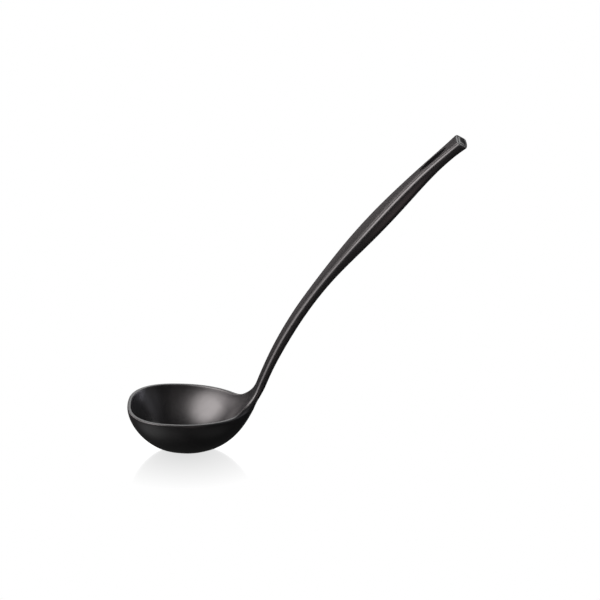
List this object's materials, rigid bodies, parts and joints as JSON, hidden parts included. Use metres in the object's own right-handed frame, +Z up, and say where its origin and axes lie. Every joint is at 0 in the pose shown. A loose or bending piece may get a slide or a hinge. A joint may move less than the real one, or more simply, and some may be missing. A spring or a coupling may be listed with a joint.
{
  "type": "soup ladle",
  "caption": "Black nylon soup ladle: a deep egg-shaped bowl, a slender upturned neck and a long bowed handle that swells into a grip with a hang slot.",
  "frame": {"origin": "centre of the flat foot under the bowl", "axes": "+X from the bowl towards the handle, +Y across the bowl, +Z up out of the bowl's mouth"},
  "size_m": [0.2403, 0.0816, 0.2345],
  "materials": {
    "bowl_nylon": "satin moulded black nylon",
    "handle_nylon": "satin moulded black nylon",
    "plug_nylon": "fine-grained black nylon",
    "strip_steel": "rolled strip",
    "pin_steel": "drawn wire"
  },
  "bodies": {
    "root": {"bowl": "bowl_nylon", "handle": "handle_nylon", "core_strip": "strip_steel", "anchor_pins": "pin_steel", "end_plug": "plug_nylon"}
  },
  "joints": []
}
